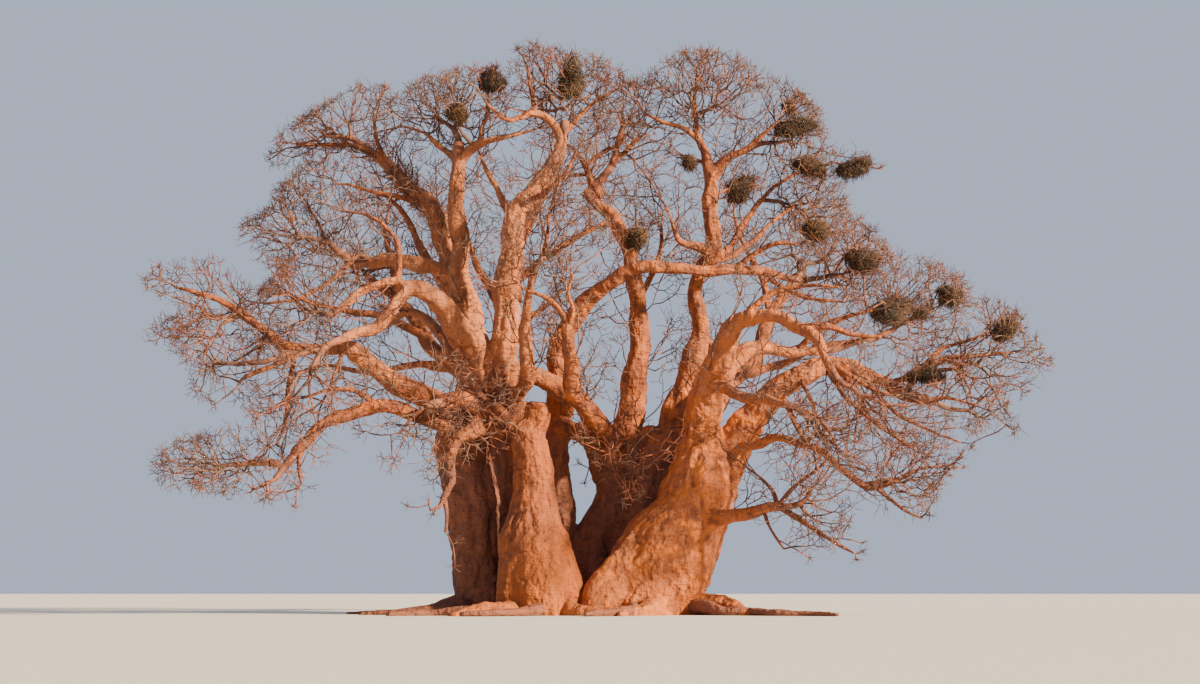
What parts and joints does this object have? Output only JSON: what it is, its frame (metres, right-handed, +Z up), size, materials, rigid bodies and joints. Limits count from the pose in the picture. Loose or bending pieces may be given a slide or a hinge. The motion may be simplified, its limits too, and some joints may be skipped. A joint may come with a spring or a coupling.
{
  "type": "baobab tree",
  "caption": "Leafless old baobab tree of several fused pale stems with a flared foot, arching tapered boughs, bare twig masses and weaver nests.",
  "frame": {"origin": "on the flat cut at ground level, in the middle of the stems", "axes": "+Z up, +X to the right as the tree is seen from the front, -Y towards the front"},
  "size_m": [31.461, 20.8786, 20.762],
  "materials": {
    "bark": "matt, folded and pitted bark",
    "twigs": "matt, fine bare twigs"
  },
  "bodies": {
    "root": {"stem_middle": "bark", "stem_right": "bark", "stem_front_left": "bark", "stem_left": "bark", "stem_inner_right": "bark", "stem_inner_left": "bark", "stem_back": "bark", "bough_arch_left": "bark", "bough_arch_left_drop": "bark", "bough_upper_left": "bark", "bough_reach_left": "bark", "bough_lowest_left": "bark", "bough_tall_left": "bark", "bough_leaning_left": "bark", "bough_broken_left": "bark", "bough_tall_centre": "bark", "bough_slim_centre": "bark", "bough_diagonal": "bark", "bough_crossing": "bark", "bough_middle": "bark", "bough_rising_front": "bark", "bough_hanging_broken": "bark", "bough_stub_front": "bark", "bough_arch_right": "bark", "bough_arch_right_drop": "bark", "bough_behind_right": "bark", "bough_reach_right": "bark", "bough_shelf_right": "bark", "bough_winding_right": "bark", "bough_lowest_right": "bark", "bough_tall_right": "bark", "bough_top_right": "bark", "bough_slant_right": "bark", "bough_back_left": "bark", "bough_back_centre": "bark", "bough_back_right": "bark", "twigs_far_left": "twigs", "twigs_drop_left": "twigs", "twigs_low_left": "twigs", "twigs_inner_left": "twigs", "twigs_shoulder_left": "twigs", "twigs_crest_left": "twigs", "twigs_top_left": "twigs", "twigs_top_centre": "twigs", "twigs_inner_centre": "twigs", "twigs_top_middle": "twigs", "twigs_top_right": "twigs", "twigs_shoulder_right": "twigs", "twigs_slant_right": "twigs", "twigs_crossing_right": "twigs", "twigs_behind_right": "twigs", "twigs_far_right": "twigs", "twigs_arch_right": "twigs", "twigs_shelf_right": "twigs", "twigs_low_right": "twigs", "twigs_lowest_right": "twigs", "twigs_thicket_left": "twigs", "twigs_back_left": "twigs", "twigs_back_centre": "twigs", "twigs_back_right": "twigs"}
  },
  "joints": []
}
